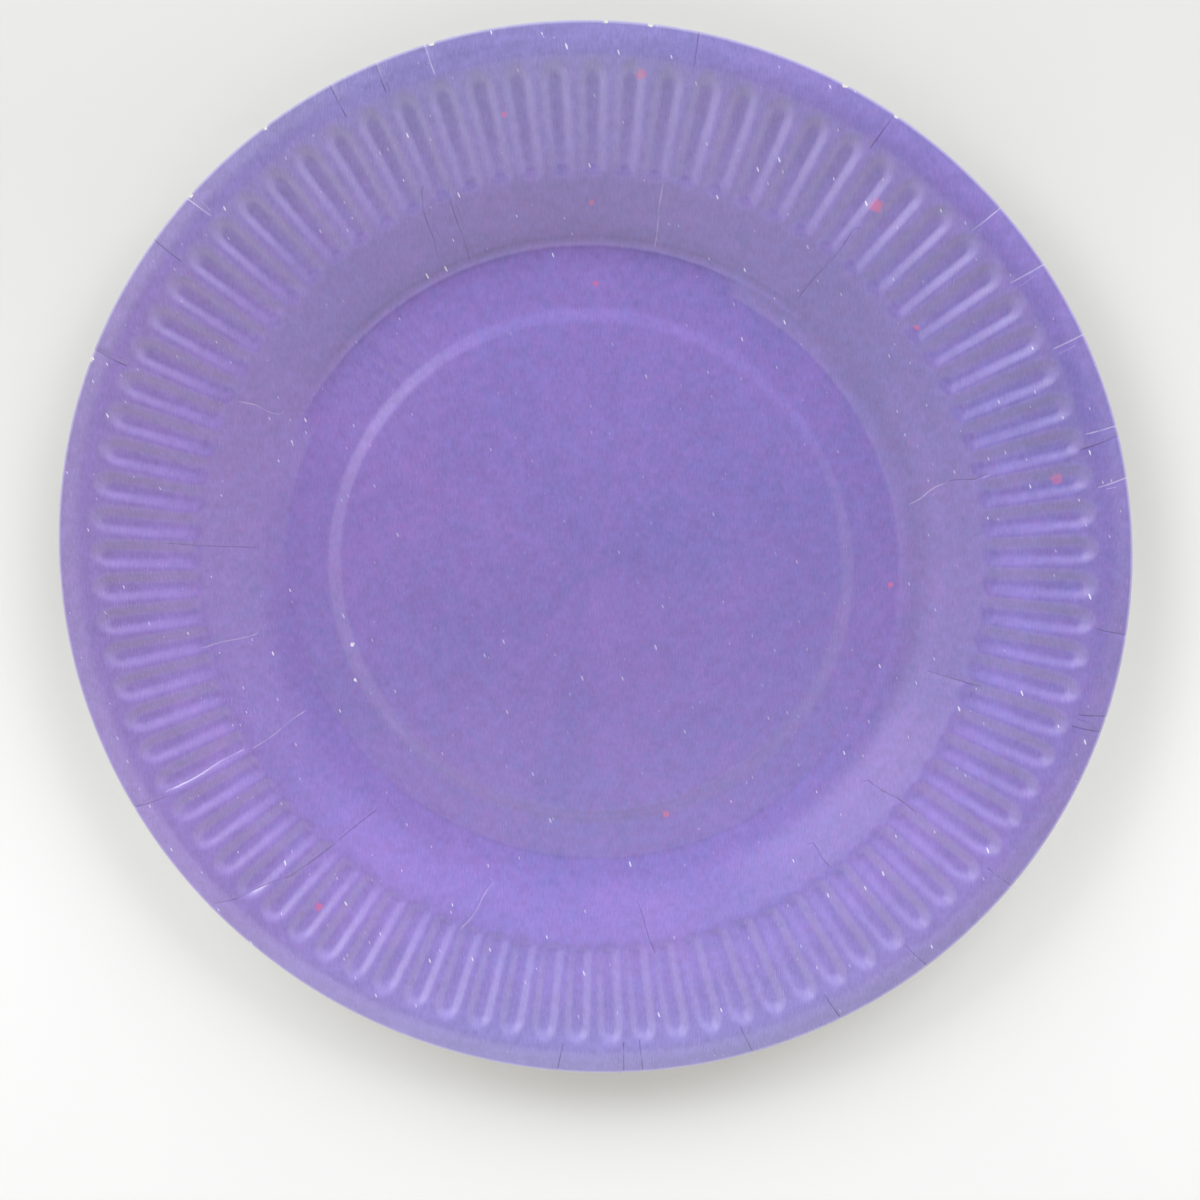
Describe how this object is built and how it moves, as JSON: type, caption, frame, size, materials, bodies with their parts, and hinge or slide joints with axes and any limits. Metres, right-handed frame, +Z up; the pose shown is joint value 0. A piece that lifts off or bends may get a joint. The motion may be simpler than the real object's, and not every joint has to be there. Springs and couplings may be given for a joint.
{
  "type": "paper plate",
  "caption": "Round shallow pressed paper plate with a fluted sloping rim, a turned-down lip and a slightly raised centre.",
  "frame": {"origin": "centre of the flat ring that the plate stands on, at table level", "axes": "+Z up along the plate's axis, out of the eating side; +X through the middle of one flute"},
  "size_m": [0.23, 0.23, 0.0151],
  "materials": {
    "printed_board": "satin"
  },
  "bodies": {
    "root": {"plate": "printed_board"}
  },
  "joints": []
}
